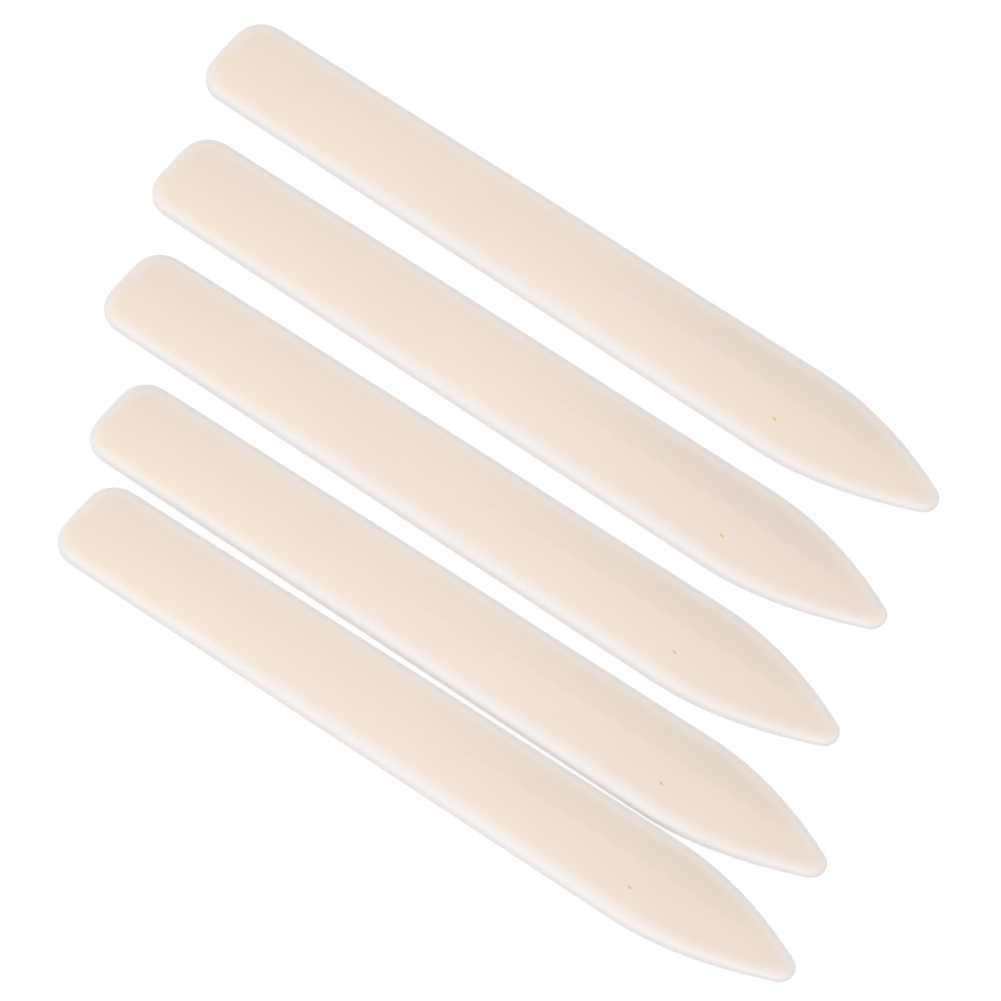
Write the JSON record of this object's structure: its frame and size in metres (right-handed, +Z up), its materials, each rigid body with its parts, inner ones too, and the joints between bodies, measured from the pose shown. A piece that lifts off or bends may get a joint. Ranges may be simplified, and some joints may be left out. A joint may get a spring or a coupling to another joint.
{
  "type": "bone folder set",
  "caption": "Loose flat bone folders laid side by side, each with a blunt rounded heel, nearly parallel sides, polished round edges and a thinned curved point for creasing paper.",
  "frame": {"origin": "centre of the middle folder's flat underside, on the surface that all the folders rest on", "axes": "+X along the folders toward their points, +Y across them toward bone_folder_1, +Z up off the surface"},
  "size_m": [0.1955, 0.112, 0.003],
  "materials": {
    "bone": "satin"
  },
  "bodies": {
    "folder_1": {"bone_folder_1": "bone"},
    "folder_2": {"bone_folder_2": "bone"},
    "folder_3": {"bone_folder_3": "bone"},
    "folder_4": {"bone_folder_4": "bone"},
    "folder_5": {"bone_folder_5": "bone"}
  },
  "joints": [
    {"name": "lift_folder_1", "type": "slide", "parent": "folder_3", "child": "folder_1", "axis": [0, 0, 1], "range_m": [0, 0.025]},
    {"name": "lift_folder_2", "type": "slide", "parent": "folder_3", "child": "folder_2", "axis": [0, 0, 1], "range_m": [0, 0.025]},
    {"name": "lift_folder_4", "type": "slide", "parent": "folder_3", "child": "folder_4", "axis": [0, 0, 1], "range_m": [0, 0.025]},
    {"name": "lift_folder_5", "type": "slide", "parent": "folder_3", "child": "folder_5", "axis": [0, 0, 1], "range_m": [0, 0.025]}
  ]
}
